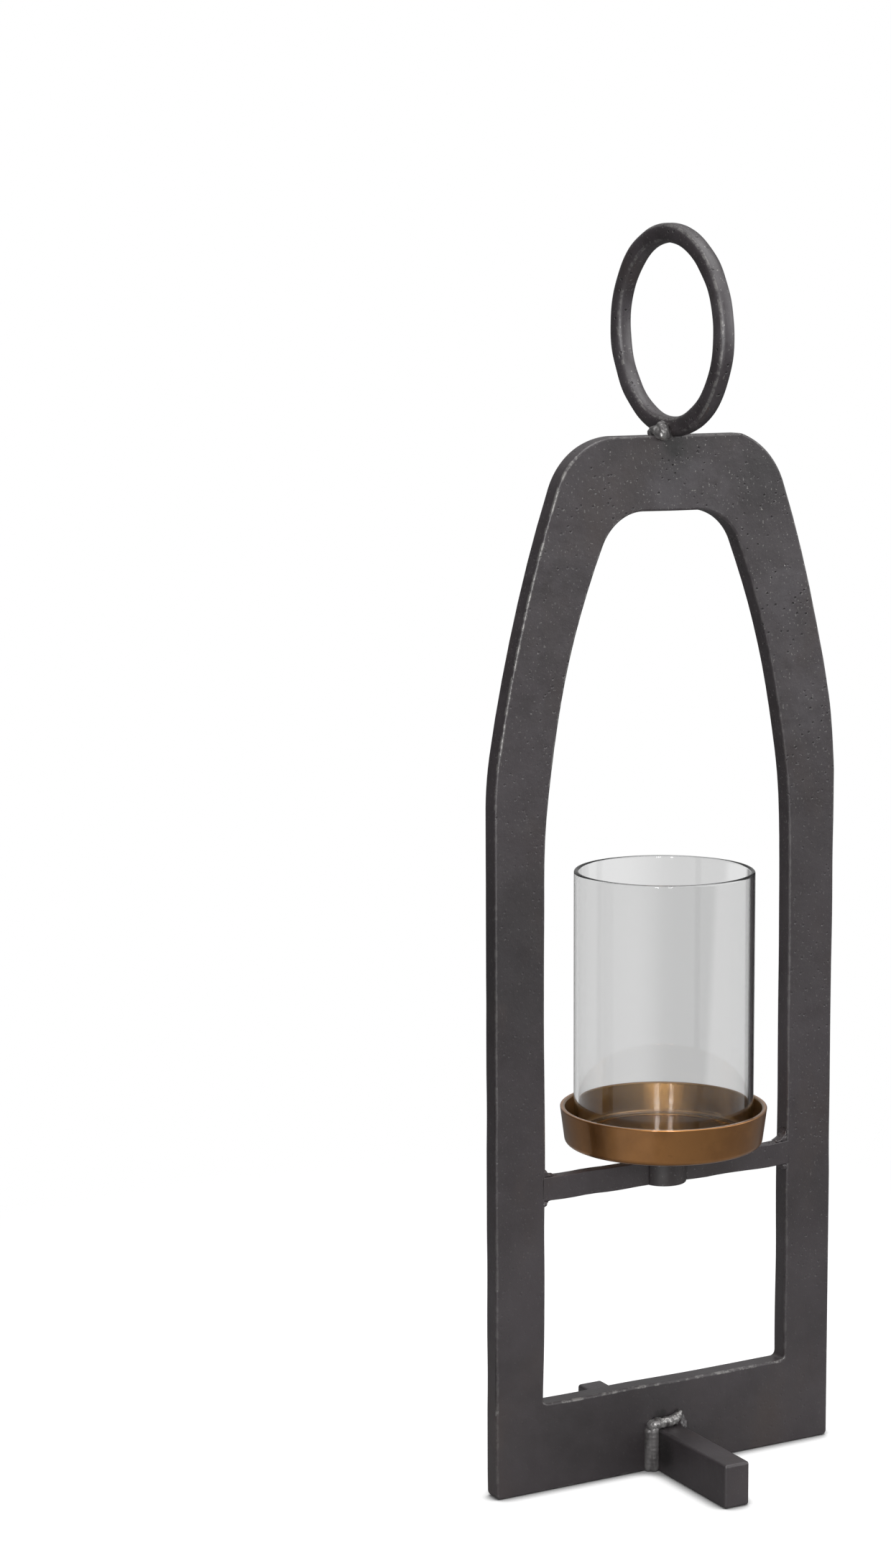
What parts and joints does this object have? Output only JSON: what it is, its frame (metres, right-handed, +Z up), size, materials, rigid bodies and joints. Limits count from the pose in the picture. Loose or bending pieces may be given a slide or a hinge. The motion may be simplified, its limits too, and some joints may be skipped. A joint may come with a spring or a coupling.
{
  "type": "candle lantern",
  "caption": "Arched iron candle lantern with a hanging ring, a flared bronze dish on a crossbar and a loose clear glass cylinder.",
  "frame": {"origin": "middle of the footprint, on the surface the lantern stands on", "axes": "+Z up through the ring; -Y is the front, the side the crossbar is flush with; X runs along the width of the plate frame"},
  "size_m": [0.22, 0.16, 0.6942],
  "materials": {
    "iron": "blackened, waxed, faintly pitted, rubbed lighter on the edges",
    "weld": "lumpy weld metal under the same dark wax, shinier on its high spots",
    "bronze": "aged bronze, satin outside and polished inside",
    "screw": "satin",
    "glass": "clear, fire-polished rim"
  },
  "bodies": {
    "lantern": {"arch_frame": "iron", "hanging_ring": "iron", "ring_weld_left": "weld", "ring_weld_right": "weld", "foot_front": "iron", "foot_rear": "iron", "foot_weld_front": "weld", "foot_weld_rear": "weld", "crossbar_left": "iron", "crossbar_right": "iron", "bar_weld_left_top": "weld", "bar_weld_left_under": "weld", "bar_weld_right_top": "weld", "bar_weld_right_under": "weld", "tray_boss": "iron", "candle_tray": "bronze", "tray_screw": "screw"},
    "glass": {"glass_cylinder": "glass"}
  },
  "joints": [
    {"name": "glass_lift", "type": "slide", "parent": "lantern", "child": "glass", "axis": [0, 0, 1], "range_m": [0, 0.155]}
  ]
}
